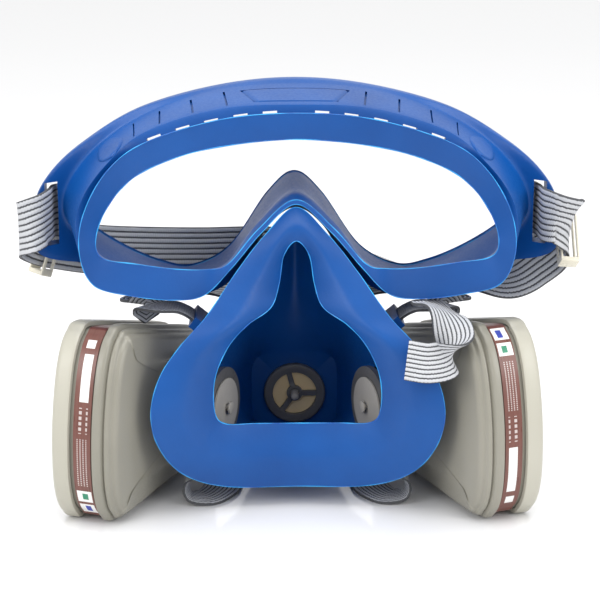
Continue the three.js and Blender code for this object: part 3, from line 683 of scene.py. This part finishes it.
def moulded(name, dark, light, rough, grain_scale=900.0, dent=0.1, cloud_scale=40.0):
    """A moulded surface: colour drifting between two tones, with a fine grain in its gloss and relief."""
    material, tree, principled = shader(name)
    place = node(tree, "ShaderNodeTexCoord").outputs["Object"]
    drift = node(tree, "ShaderNodeTexNoise", {"Vector": place, "Scale": cloud_scale, "Detail": 4.0})
    driven(tree, principled, "Base Color", drift.outputs["Fac"], (0.3, dark), (0.7, light))
    fine = node(tree, "ShaderNodeTexNoise", {"Vector": place, "Scale": grain_scale, "Detail": 3.0})
    gloss = (0.3, rough - 0.06), (0.7, min(rough + 0.08, 1.0))
    driven(tree, principled, "Roughness", fine.outputs["Fac"], *gloss)
    relief = node(tree, "ShaderNodeBump", {"Height": fine.outputs["Fac"], "Strength": dent, "Distance": 0.0003})
    tree.links.new(relief.outputs["Normal"], principled.inputs["Normal"])
    return material


dark_plastic = moulded("dark_moulded_plastic", (0.10, 0.10, 0.105), (0.14, 0.14, 0.145), 0.35)
grey_silicone = moulded("grey_silicone", (0.40, 0.38, 0.35), (0.50, 0.48, 0.44), 0.45)
amber_silicone = moulded("amber_silicone", (0.80, 0.60, 0.32), (0.90, 0.72, 0.44), 0.42)
black_rubber = moulded("black_rubber", (0.012, 0.012, 0.013), (0.025, 0.025, 0.027), 0.6)


def spokes(angles, size, reach, depth, origin, axis):
    """Bars that point away from the axis through origin, each turned about it by its own angle."""
    made = []
    out = Vector(axis)
    side = out.cross(Vector((0, 0, 1))).normalized()
    upward = side.cross(out)
    for turn in np.radians(angles):
        along = side * math.cos(turn) + upward * math.sin(turn)
        beside = upward * math.cos(turn) - side * math.sin(turn)
        local = BOX_CORNERS * np.array(size) + [reach, depth, 0]
        points = local @ np.array([along, out, beside]) + np.array(origin)
        made.append(outward(link_mesh("spoke", metres(points), BOX_FACES)))
    return made


seat = turned("valve_seat_ring", [
    (9, INNER - 2.3), (12, INNER - 2.3), (12.6, INNER - 1.8), (12.6, INNER), (11.2, INNER), (11.2, FORE),
    (14, FORE), (14, FORE + 2), (10.4, FORE + 2), (10.4, INNER), (9, INNER),
], *VALVE)
hub = turned("hub", [(1.9, INNER - 2), (3.2, INNER - 2), (3.2, INNER - 0.2), (1.9, INNER - 0.2)], *VALVE, 48)
arms = spokes([105, 0, 235], (7.2, 1.6, 2.1), 6.2, INNER - 1.1, VALVE[0], VALVE[1])
cut(seat, [hub, *arms], "UNION")
eased(seat, 0.25)
finished(seat, dark_plastic, "frame", "dark_plastic", "valve_seat")

disc_profile = [(1.9, 40.4), (9.9, 40.4), (10, 40.7), (9.8, 41.1), (1.9, 41.3)]
flap_disc = turned("exhalation_disc", disc_profile, *VALVE)
smooth(flap_disc)
finished(flap_disc, amber_silicone, "exhalation_flap", "amber_rubber", "exhalation_flap")
pin = turned("valve_pin_moulding", [
    (0, 33.2), (1.1, 33.3), (1.6, 34), (1.6, 43), (2.8, 43), (2.8, 44), (0, 44.4),
], *VALVE, 40)
smooth(pin, 50)
finished(pin, grey_silicone, "frame", "grey_rubber", "valve_pin")

cover = turned("valve_cover_dome", [
    (14.4, 43.6), (16, 43.6), (16, 49), (15.6, 50.2), (14.5, 51), (11, 52), (0, 52.4), (0, 50.8),
    (10.5, 50.4), (13.4, 49.6), (14.4, 48.2),
], *VALVE)
outlets = spokes([-142, -90, -38], (3.6, 8, 9), 14, 47.4, VALVE[0], VALVE[1])
cut(cover, outlets)
eased(cover, 0.3)
finished(cover, blue_rubber, "valve_cover", "blue_rubber", "valve_cover")

# ---------------------------------------------------------------- inhalation ports
# Each side port holds a dark threaded inlet clamped through the rubber, a grey flap that opens
# inwards on a button, and a soft gasket where the cartridge seats.
for side, out, centre in ports:
    hand = "right" if side > 0 else "left"
    inlet = turned("inlet_ring_" + hand, [
        (10.4, -8.5), (15.8, -8.5), (15.8, -6.3), (PORT_R - 0.3, -6.3), (PORT_R - 0.3, 2.3), (16, 2.3),
        (16, 4.2), (PORT_R - 0.3, 4.2), (PORT_R - 0.3, 11), (11.2, 11), (11.2, 4), (10.4, 3),
    ], centre, out)
    hub = turned("hub", [(1.6, -8.3), (3, -8.3), (3, -6.8), (1.6, -6.8)], centre, out, 48)
    arms = spokes([45, 135, 225, 315], (8.6, 1.5, 1.6), 6.6, -7.55, centre, out)
    cut(inlet, [hub, *arms], "UNION")
    eased(inlet, 0.2)
    finished(inlet, dark_plastic, "frame", "dark_plastic", "inlet_" + hand)
    disc_profile = [(1.5, -9.6), (11.6, -9.4), (11.6, -8.8), (1.5, -8.8)]
    disc = turned("inhalation_disc_" + hand, disc_profile, centre, out)
    smooth(disc)
    finished(disc, grey_silicone, "inhalation_flap_" + hand, "grey_rubber", "inhalation_flap_" + hand)
    button = turned("flap_button_moulding_" + hand, [
        (0, -11.8), (2.4, -11.6), (2.4, -10.8), (1.2, -10.8), (1.2, -6.5), (2.4, -6.5), (2.4, -5.7),
        (0, -5.5),
    ], centre, out, 40)
    eased(button, 0.15)
    finished(button, grey_silicone, "frame", "grey_rubber", "flap_button_" + hand)
    gasket = turned("gasket_ring_" + hand, [
        (13.1, 4.5), (15.6, 4.5), (15.8, 5.4), (15.6, 6.3), (13.1, 6.3),
    ], centre, out)
    smooth(gasket)
    finished(gasket, black_rubber, "frame", "black_rubber", "gasket_" + hand)

# ---------------------------------------------------------------- cartridges
# Each cartridge is a warm grey moulded case: a round neck that swells to a domed body, a stepped bead,
# a printed film round its side wall and a pale push-on cap over a felt pad and a bed of carbon.
CART_PITCH = math.radians(7.5)
CART_DROP = 2.32
BEAD_D, CAP_D, END_D = 18.0, 31.0, 38.3


def half_height(u):
    """Half the cartridge's height where its lower side lies flat on the table, u along it."""
    return (PORT_Z - np.asarray(u) * math.sin(CART_PITCH)) / math.cos(CART_PITCH) - CART_DROP


CART_EDGE = [
    (44, 0), (43.3, 11), (40, 20), (33, 26.8), *[(u, float(half_height(u))) for u in (24, -7, -38)],
    (-46, 35), (-51.2, 28.4), (-54.4, 17.5), (-55.8, 0),
]


def cart_ring(inset, fine=12):
    """The cartridge's outline drawn in by inset: columns are forward and up."""
    ring = round_loop(mirrored(grown([(v, 0, u) for u, v in CART_EDGE], -inset)), fine)
    return ring[:, 2], ring[:, 0]


def cart_axes(port):
    """The cartridge's forward and upward directions: square to its port's axis, and pitched nose down."""
    side, out = port[:2]
    level = np.array([-side * out[1], side * out[0], 0.0])
    ahead = level * math.cos(CART_PITCH) + np.array([0, 0, -math.sin(CART_PITCH)])
    return ahead, side * np.cross(out, ahead)


def cart_place(port, u, v, d):
    """Forward u, up v and outward d of a port."""
    ahead, upward = cart_axes(port)
    return port[2] + d * port[1] + u[:, None] * ahead + v[:, None] * upward


def cart_loop(port, d, inset):
    """One loop of the cartridge at a distance along the port's axis."""
    u, v = cart_ring(inset)
    v = np.sign(v) * np.minimum(np.abs(v), half_height(u)) - CART_DROP
    return cart_place(port, u, v, d)


def cart_round(port, d, radius):
    """A round loop of the same count about the port's axis."""
    u, v = cart_ring(0)
    angle = np.arctan2(v - CART_DROP, u)
    return cart_place(port, radius * np.cos(angle), radius * np.sin(angle), d)


def skin_piece(name, stations, bend, fine, closed=True):
    """A piece skinned through its loops, closed on itself or capped with fans."""
    grid = skinned(stations, bend, fine, closed)
    if closed:
        points, faces = grid.reshape(-1, 3), grid_faces(*grid.shape[:2], True)
    else:
        points, faces = capped(grid)
    return outward(link_mesh(name, metres(points), faces))


case_plastic = moulded("warm_grey_case", (0.235, 0.225, 0.185), (0.275, 0.262, 0.218), 0.34, 1200.0, 0.05, 18.0)
cap_plastic = moulded("pale_cap", (0.40, 0.385, 0.32), (0.46, 0.445, 0.375), 0.36, 1200.0, 0.05, 18.0)
carbon = moulded("carbon_granules", (0.008, 0.008, 0.009), (0.05, 0.05, 0.052), 0.7, 700.0, 0.9, 900.0)
felt = moulded("filter_felt", (0.70, 0.70, 0.66), (0.84, 0.84, 0.80), 0.95, 1600.0, 0.6, 500.0)


def maths(tree, a, b=0.0, operation="MULTIPLY", c=0.0):
    """One arithmetic node on up to three values."""
    return node(tree, "ShaderNodeMath", {0: a, 1: b, 2: c}, operation=operation).outputs[0]


def within(tree, value, low, high):
    """One where value lies between low and high, and nought elsewhere."""
    return maths(tree, value, (low + high) / 2, "COMPARE", (high - low) / 2)


def over(tree, under, colour, mask):
    """A colour laid over another where the mask is one."""
    mixed = node(tree, "ShaderNodeMix", {0: mask, 6: under, 7: (*colour, 1)}, data_type="RGBA")
    return mixed.outputs[2]


def label_film():
    """A printed film, blank of wording: blocks and rows of dashes from its upper end down, by its own map."""
    material, tree, principled = shader("label_film")
    grid = node(tree, "ShaderNodeUVMap", uv_map="film")
    axes = node(tree, "ShaderNodeSeparateXYZ", {0: grid.outputs["UV"]}).outputs
    down, across = axes["X"], axes["Y"]
    tint = node(tree, "ShaderNodeTexNoise", {"Vector": grid.outputs["UV"], "Scale": 9.0, "Detail": 3.0})
    colour = ramp(tree, tint.outputs["Fac"], (0.3, (0.125, 0.042, 0.03)), (0.7, (0.175, 0.064, 0.048)))
    white, green, navy = (0.8, 0.8, 0.78), (0.02, 0.22, 0.12), (0.03, 0.05, 0.35)
    for low, high, left, right, paint in [
        (0.12, 0.37, 0.2, 0.72, white), (0.05, 0.09, 0.25, 0.75, white),
        (0.86, 0.925, 0.08, 0.92, white), (0.94, 0.995, 0.08, 0.92, white),
        (0.875, 0.91, 0.3, 0.62, green), (0.95, 0.985, 0.3, 0.62, navy),
    ]:
        mask = maths(tree, within(tree, down, low, high), within(tree, across, left, right))
        colour = over(tree, colour, paint, mask)
    for low, high, rows, rate in [(0.40, 0.54, 2.5, 34.0), (0.57, 0.83, 6.0, 90.0)]:
        row = within(tree, maths(tree, maths(tree, across, rows), 1.0, "MODULO"), 0.35, 0.75)
        dash = within(tree, maths(tree, maths(tree, down, rate), 1.0, "MODULO"), 0.2, 0.8)
        area = maths(tree, within(tree, down, low, high), within(tree, across, 0.2, 0.8))
        mask = maths(tree, maths(tree, row, dash), maths(tree, area, 0.75))
        colour = over(tree, colour, (0.66, 0.6, 0.58), mask)
    tree.links.new(colour, principled.inputs["Base Color"])
    driven(tree, principled, "Roughness", tint.outputs["Fac"], (0.3, 0.26), (0.7, 0.38))
    return material


film_look = label_film()


def corner_map(mesh, name, along, beside):
    """Writes a map of two values for each point to all the corners that meet there."""
    corner = np.empty(len(mesh.loops), int)
    mesh.loops.foreach_get("vertex_index", corner)
    pairs = np.stack([along, beside], 1)[corner]
    mesh.uv_layers.new(name=name).data.foreach_set("uv", pairs.ravel().astype(np.float32))


FILM_D = (BEAD_D + 4.2, CAP_D - 1.6)


def film_map(piece, port, reverse):
    """The film's map: how far down the label each point lies, and how far across it."""
    mesh = piece.data
    points = np.empty(len(mesh.vertices) * 3)
    mesh.vertices.foreach_get("co", points)
    points = points.reshape(-1, 3) * 1000 + [0, SET_BACK, 0] - port[2]
    down = (33.0 - points @ cart_axes(port)[1]) / 70.0
    over_film = (points @ port[1] - FILM_D[0]) / (FILM_D[1] - FILM_D[0])
    corner_map(mesh, "film", 1 - down if reverse else down, over_film)


# Round loops are (distance, radius) and the others (distance, inset).
NECK_OUT = [(6.6, 13.2), (6.6, 19), (8.2, 21)]
BODY_OUT = [
    (10.4, 13), (12.4, 5), (13.4, 3.6), (14.6, 3.2), (15.2, 2), (16.6, 1.7), (17.3, 2.4), (BEAD_D, 0.6),
    (BEAD_D + 0.8, 0.2), (BEAD_D + 3, 0.2), (BEAD_D + 3.6, 2.4), (CAP_D + 2.6, 2.4), (CAP_D + 2.6, 4),
    (BEAD_D + 0.5, 4), (15.6, 8), (12.6, 16),
]
NECK_IN = [(10.8, 19), (9.2, 13.2)]
CASE_BEND = [0, 0.3, 0.7, 0.9, 0.7, 0.6, 0.5, 0.5, 0.5, 0.5, 0.6, 0.6, 0.5, 0, 0, 0, 0.2, 0.6, 0.6, 0.4, 0.2]
CASE_FINE = [2, 3, 7, 6, 4, 3, 2, 3, 2, 3, 3, 4, 2, 3, 1, 3, 3, 3, 3, 2, 2]
LABEL = [(FILM_D[0], 1.7), (FILM_D[1], 1.7), (FILM_D[1], 2.1), (FILM_D[0], 2.1)]
CAP = [
    (CAP_D, 2), (CAP_D, 0.3), (CAP_D + 1.2, 0), (END_D - 2, 0), (END_D - 0.5, 1), (END_D, 3), (END_D, 10),
    (END_D - 0.9, 11.4), (END_D - 2.6, 11.4), (END_D - 2.6, 2),
]
CAP_BEND = [0, 0.6, 0.6, 0.7, 0.8, 0.6, 0.6, 0.6, 0, 0]
CAP_FINE = [2, 3, 4, 4, 4, 4, 3, 2, 4, 2]
for port in ports:
    hand = "right" if port[0] > 0 else "left"
    body = "cartridge_" + hand

    def loops_at(pairs, shape=cart_loop):
        """The loops of this cartridge at each distance and inset or radius."""
        return [shape(port, distance, size) for distance, size in pairs]

    neck_out, neck_in = loops_at(NECK_OUT, cart_round), loops_at(NECK_IN, cart_round)
    stations = neck_out + loops_at(BODY_OUT) + neck_in
    case = skin_piece("cartridge_shell_" + hand, stations, CASE_BEND, CASE_FINE)
    smooth(case, 50)
    finished(case, case_plastic, body, "case_plastic", "cartridge_case_" + hand)
    film = skin_piece("label_film_" + hand, loops_at(LABEL), [0] * 4, [6, 1, 6, 1])
    film_map(film, port, port[0] > 0)
    smooth(film, 50)
    finished(film, film_look, body, "label_film", "cartridge_label_" + hand)
    ends = loops_at([(BEAD_D + 1.2, 4.4), (CAP_D - 1, 4.4)])
    bed = skin_piece("carbon_fill_" + hand, ends, [0, 0], 4, False)
    smooth(bed)
    finished(bed, carbon, body, "carbon_granules", "carbon_bed_" + hand)
    ends = loops_at([(CAP_D - 0.6, 4.5), (CAP_D + 3.4, 4.5)])
    pad = skin_piece("felt_pad_" + hand, ends, [0, 0], 4, False)
    smooth(pad)
    finished(pad, felt, body, "filter_felt", "prefilter_" + hand)
    lid = skin_piece("cap_moulding_" + hand, loops_at(CAP), CAP_BEND, CAP_FINE)
    smooth(lid, 50)
    finished(lid, cap_plastic, "cap_" + hand, "cap_plastic", "cartridge_cap_" + hand)

# ---------------------------------------------------------------- straps
# Flat woven elastic: nine pale raised rows on a dark ground. The goggle strap runs through both wings
# and two buckles; the mask straps are sewn into the lugs, and the head strap's spare end hangs free.
GOGGLE_PATH = [
    (-80, 22, 106, 0, 0, 1), (-89.5, 13, 111, 0, 0, 1), (-92.2, 3, 113, 0, 0, 1), (-93, -5, 113, 0, 0, 1),
    (-95.8, -11.2, 112, 0, 0, 1), (-100.4, -12.2, 110, 0, 0, 1), (-103.7, -7, 108, 0, 0, 1),
    (-104.2, 1, 105.5, 0, 0, 1), (-101.7, 8, 102, 0.1, 0, 1), (-97.5, 14, 98.5, 0.15, 0, 1),
    (-92, 21, 95.5, 0.1, 0, 1), (-80, 31.5, 91, 0, 0, 1), (-62, 43, 87.5, 0, 0, 1),
    (-38, 52.5, 85, 0, 0, 1), (-12, 58, 84, 0, 0, 1), (8, 60, 81, 0, 0.35, 0.9),
    (28, 56, 77, 0.2, 0.85, 0.4), (48, 44, 75.6, 0.5, 0.85, 0), (63, 31, 78.4, 0.6, 0.8, 0),
    (76, 19, 80.6, 0.5, 0.8, 0.2), (86, 13, 84.4, 0, 0.6, 0.8), (93.6, 11, 90.4, -0.2, 0.4, 0.9),
    (99.6, 6.6, 96.8, 0, 0.1, 0.95), (102.6, 0.4, 102.6, 0.1, -0.15, 0.95),
    (103.2, -7, 108.4, 0.15, -0.25, 0.92), (100.6, -14, 112, 0.25, -0.4, 0.87),
    (97, -15.5, 113.4, 0.2, -0.4, 0.9), (93.2, -10.5, 113.2, 0.05, -0.1, 1), (92.2, 1, 113, 0, 0, 1),
    (90.5, 11, 112, 0, 0, 1), (80, 22, 108, 0, 0, 1),
]
HEAD_HALF = [
    (35, -2, 68.8, 0, 1, 0), (38, -2, 71.3, 0, 1, 0), (41, -2.4, 73.8, 0, 1, 0), (46, -4, 76.4, 0.1, 1, 0),
    (53, -5, 77, 0.3, 1, 0), (58.6, 0.6, 76.9, 0.8, 0.8, 0), (61, 12, 75.4, 1, 0.2, 0),
    (54.5, 27, 73.2, 0.9, 0.4, 0), (42, 43, 71, 0.6, 0.7, 0), (27, 55, 69, 0.2, 0.7, 0.5),
    (12, 61, 66, 0, 0.3, 1),
]
NECK_HALF = [
    (34.9, -6, 15.6, 0, 1, 0), (37.4, -6, 13.1, 0, 1, 0), (40, -6, 10.5, 0, 1, 0),
    (42.8, -7.5, 6.4, 0, 1, 0), (41.6, -9.5, 2.4, 0, 1, 0), (36, -9.5, 0.9, 0.3, 1, 0),
    (30.5, -2, 0.85, 0.9, 0.5, 0), (28, 12, 0.85, 1, 0.1, 0), (24, 28, 0.85, 1, 0.4, 0),
    (14, 44, 0.85, 0.7, 0.8, 0),
]
TAIL_PATH = [
    (48.5, -15.5, 81.1, 0.4, 1, 0), (54.5, -24.5, 79.2, 0.8, 0.5, -0.3), (58, -32, 71, 0.7, 0.1, 0.6),
    (55, -37, 65.5, 0.3, 0.2, 0.9), (48.5, -37, 63.6, 0.1, 0.3, 0.9), (40, -35, 64.2, 0.05, 0.3, 0.9),
]


def around(half, middle):
    """A strap path the same on both sides: its right half from the lug, then the middle point."""
    left = [(-x, y, z, -a, b, c) for x, y, z, a, b, c in half]
    return [*left, middle, *half[::-1]]


def strap_frames(path, steps):
    """Middle points, directions and width directions at even steps of the path's own parameter. The middle
    line is a centripetal Catmull-Rom curve. The width turns along a uniform one, squared to the line."""
    path = np.asarray(path, float)
    spine, across = path[:, :3], path[:, 3:]
    across = across / np.linalg.norm(across, axis=1)[:, None]

    def padded_ends(p):
        return np.vstack([2 * p[0] - p[1], p, 2 * p[-1] - p[-2]])

    def spine_at(t):
        t = np.clip(t, 0, 1) * (len(spine) - 1)
        i = np.minimum(t.astype(int), len(spine) - 2)
        w = (t - i)[:, None]
        p = padded_ends(spine)
        p0, p1, p2, p3 = p[i], p[i + 1], p[i + 2], p[i + 3]
        spans = ((p0, p1), (p1, p2), (p2, p3))
        d0, d1, d2 = [np.sqrt(np.linalg.norm(b - a, axis=1))[:, None] for a, b in spans]
        s1 = ((p1 - p0) / d0 - (p2 - p0) / (d0 + d1) + (p2 - p1) / d1) * d1
        s2 = ((p2 - p1) / d1 - (p3 - p1) / (d1 + d2) + (p3 - p2) / d2) * d1
        return p1 + s1 * w + (3 * (p2 - p1) - 2 * s1 - s2) * w**2 + (2 * (p1 - p2) + s1 + s2) * w**3

    t = np.linspace(0, 1, steps + 1)
    middle = spine_at(t)
    along = spine_at(t + 1e-4) - spine_at(t - 1e-4)
    along /= np.linalg.norm(along, axis=1)[:, None]
    i = np.minimum((t * (len(spine) - 1)).astype(int), len(spine) - 2)
    w = (t * (len(spine) - 1) - i)[:, None]
    p = padded_ends(across)
    width = cubic(p[i], p[i + 1], p[i + 2], p[i + 3], w)
    width -= (width * along).sum(1)[:, None] * along
    width /= np.linalg.norm(width, axis=1)[:, None]
    return middle, along, width


ROWS = 9


def webbing(name, path, width, steps):
    """A woven band swept along its path, and its length. Its section is a flat bar whose two faces swell into
    nine rows. Its map runs along the band in steps of 2 mm and across it from edge to edge."""
    middle, along, wide = strap_frames(path, steps)
    up = np.cross(along, wide)
    half, thick = width / 2 - 0.05, WEB_THICK / 2 - 0.02
    s = np.linspace(0, 1, ROWS * 8 + 1)
    swell = thick - 0.2 * (1 - np.abs(np.sin(np.pi * ROWS * s)) ** 0.7)
    top = np.stack([half * (2 * s - 1), swell], 1)
    section = np.vstack([top, top[::-1] * [1, -1]])
    share = np.concatenate([s, s[::-1]])
    points = middle[:, None] + section[None, :, :1] * wide[:, None] + section[None, :, 1:] * up[:, None]
    distance = np.concatenate([[0], np.cumsum(np.linalg.norm(np.diff(middle, axis=0), axis=1))])
    rows, count = points.shape[:2]
    faces = grid_faces(rows, count, False).tolist()
    faces.append(list(range(count)))
    faces.append([(rows - 1) * count + c for c in reversed(range(count))])
    piece = link_mesh(name, metres(points).reshape(-1, 3), faces)
    corner_map(piece.data, "weave", np.repeat(distance / 2.0, count), np.tile(share, rows))
    work = bmesh.new()
    work.from_mesh(piece.data)
    bmesh.ops.recalc_face_normals(work, faces=work.faces)
    work.to_mesh(piece.data)
    work.free()
    smooth(piece, 60)
    return piece, distance[-1] * 0.001


def woven_look(name, rows, ground, thread):
    """Woven elastic by its own map: rows of pale dashes with dark rubber cords showing between them."""
    material, tree, principled = shader(name, Roughness=0.78)
    grid = node(tree, "ShaderNodeUVMap", uv_map="weave")
    axes = node(tree, "ShaderNodeSeparateXYZ", {0: grid.outputs["UV"]}).outputs
    fuzz = node(tree, "ShaderNodeTexNoise", {"Vector": grid.outputs["UV"], "Scale": 6.0, "Detail": 5.0})
    shift = maths(tree, maths(tree, fuzz.outputs["Fac"], 0.04), -0.02, "ADD")
    row = maths(tree, maths(tree, axes["Y"], shift, "ADD"), rows * math.pi)
    wave = maths(tree, maths(tree, row, operation="SINE"), operation="ABSOLUTE")
    cell = maths(tree, maths(tree, axes["Y"], rows), operation="FLOOR")
    stagger = maths(tree, maths(tree, cell, 0.5), maths(tree, axes["X"], 2.0), "ADD")
    dash = maths(tree, maths(tree, stagger, 2 * math.pi), operation="SINE")
    strength = maths(tree, maths(tree, dash, 0.1), wave, "ADD")
    driven(tree, principled, "Base Color", strength, (0.36, ground), (0.62, thread))
    relief = node(tree, "ShaderNodeBump", {"Height": strength, "Strength": 0.5, "Distance": 0.0003})
    tree.links.new(relief.outputs["Normal"], principled.inputs["Normal"])
    return material


elastic = woven_look("elastic_webbing", ROWS, (0.06, 0.062, 0.068), (0.50, 0.51, 0.53))
HEAD_PATH = around(HEAD_HALF, (0, 62, 65, 0, 0, 1))
NECK_PATH = around(NECK_HALF, (0, 50, 0.85, 0, 1, 0))
for node_name, path, width, steps, held, rests in [
    ("goggle_strap", GOGGLE_PATH, WEB_WIDE, 640, "hung", "goggle_frame"),
    ("head_strap", HEAD_PATH, WEB_NARROW, 420, "hung", "half_mask"),
    ("neck_strap", NECK_PATH, WEB_NARROW, 420, "laid", "half_mask"),
    ("head_strap_tail", TAIL_PATH, WEB_NARROW, 120, "hung", "half_mask"),
]:
    band, length = webbing(node_name + "_webbing", path, width, steps)
    finished(band, elastic, "frame", "elastic_webbing", node_name)

# ---------------------------------------------------------------- buckles
# An ivory moulded slider on each side of the goggle strap: a rounded frame that the strap threads.
ivory = moulded("ivory_plastic", (0.66, 0.62, 0.50), (0.74, 0.70, 0.58), 0.3, 1000.0, 0.04, 25.0)
STEPS = 2000
middle, along, wide = strap_frames(GOGGLE_PATH, STEPS)
for hand, share in (("left", 0.31), ("right", 0.775)):
    i = round(share * STEPS)
    axes = np.array([along[i], wide[i], np.cross(along[i], wide[i])])
    blocks = []
    for size in ((6, 26, 7.2), (20, 22.4, 5.6), (3, 20, 12)):
        points = metres(middle[i] + BOX_CORNERS * np.array(size) @ axes)
        blocks.append(outward(link_mesh("buckle_moulding_" + hand, points, BOX_FACES)))
    buckle = cut(blocks[0], blocks[1:])
    eased(buckle, 0.35)
    finished(buckle, ivory, "frame", "ivory_plastic", "buckle_" + hand)
